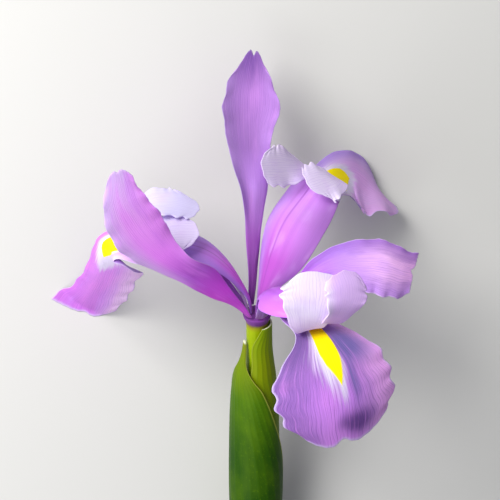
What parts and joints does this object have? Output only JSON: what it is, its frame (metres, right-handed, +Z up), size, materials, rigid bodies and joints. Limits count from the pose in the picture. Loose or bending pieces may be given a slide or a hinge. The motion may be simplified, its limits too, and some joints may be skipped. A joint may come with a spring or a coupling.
{
  "type": "cut iris flower",
  "caption": "Cut iris flower lying on its side, with broad hanging falls, upright standards, crested style arms, and a green spathe on a short stem.",
  "frame": {"origin": "on the floor, below the middle of the flower's box", "axes": "+Y from the cut end of the stem towards the tip of the upright standard, +Z up from the surface the flower lies on"},
  "size_m": [0.0989, 0.1754, 0.078],
  "materials": {
    "fall": "soft satin lilac petal with fine violet veins and a yellow signal",
    "standard": "soft satin violet petal with fine veins",
    "style": "pale lilac to white crests on pink-violet arms",
    "stamen": "pale matt anther and filament",
    "ovary": "smooth yellow-green",
    "spathe": "papery green with lengthwise ribs and a dry yellowish edge",
    "stem": "smooth waxy green"
  },
  "bodies": {
    "root": {"stem": "stem", "ovary": "ovary", "spathe_outer": "spathe", "spathe_inner": "spathe", "fall_front": "fall", "fall_left": "fall", "fall_back": "fall", "standard_back": "standard", "standard_right": "standard", "standard_left": "standard", "style_front": "style", "style_left": "style", "style_back": "style", "stamen_front": "stamen", "stamen_left": "stamen", "stamen_back": "stamen"}
  },
  "joints": []
}
